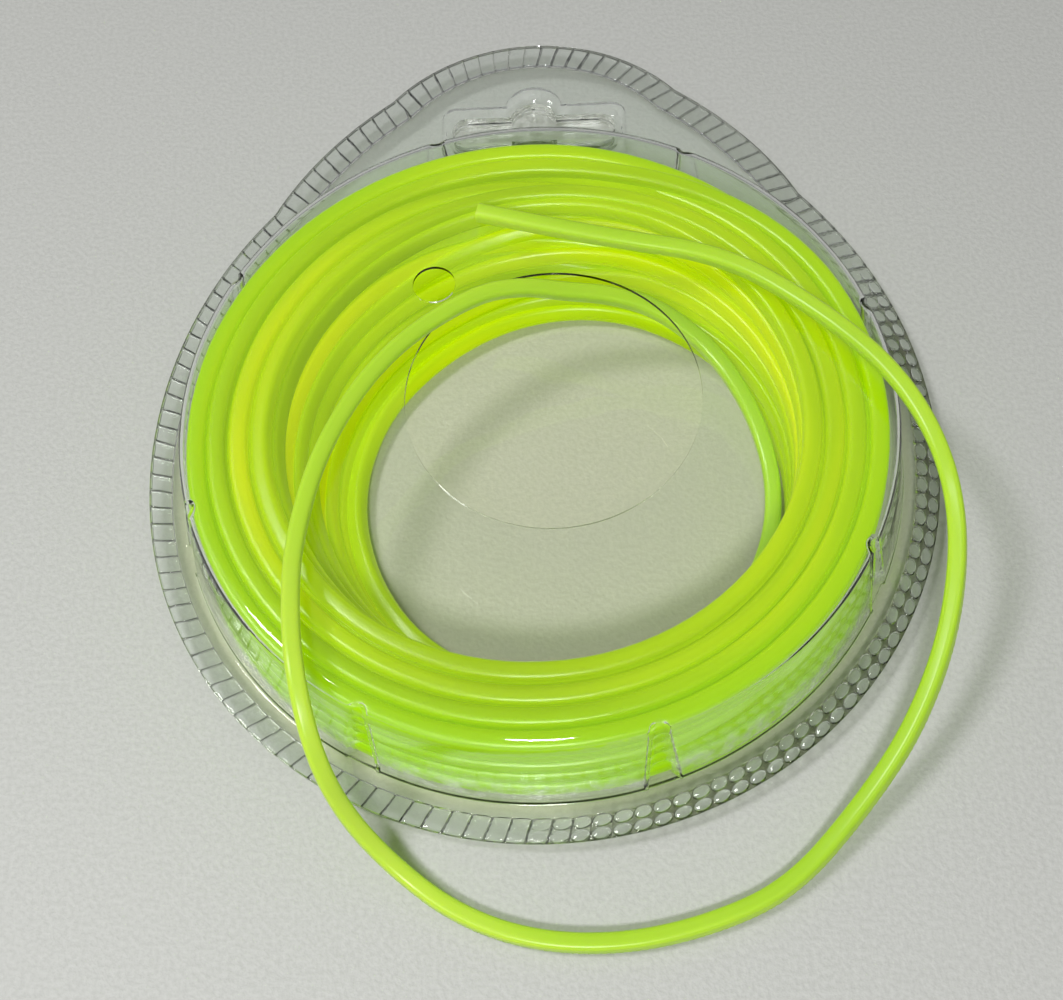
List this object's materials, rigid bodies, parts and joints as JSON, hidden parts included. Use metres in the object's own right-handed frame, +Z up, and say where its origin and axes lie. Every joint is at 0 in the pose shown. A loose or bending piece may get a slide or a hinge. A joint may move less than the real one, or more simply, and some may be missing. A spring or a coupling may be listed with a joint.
{
  "type": "line coil in a donut pack",
  "caption": "Clear formed donut pack with a hang tab, holding a coil of bright green line whose free end comes out through the round hole in its face.",
  "frame": {"origin": "on the dome's axis, at the height of the surface that the tray stands on", "axes": "+Z up through the flat face, +Y towards the hang tab"},
  "size_m": [0.1124, 0.1474, 0.0227],
  "materials": {
    "clear_sheet": "clear formed sheet",
    "line": "translucent fluorescent"
  },
  "bodies": {
    "pack": {"front_cover": "clear_sheet", "back_cover": "clear_sheet"},
    "coil": {"line_core": "line", "line_outer_turns": "line", "line_inner_turns": "line", "line_free_end": "line"}
  },
  "joints": [
    {"name": "coil_spin", "type": "hinge", "parent": "pack", "child": "coil", "pos_m": [0, 0, 0.008], "axis": [0, 0, 1], "range_deg": [-60, 12]}
  ]
}
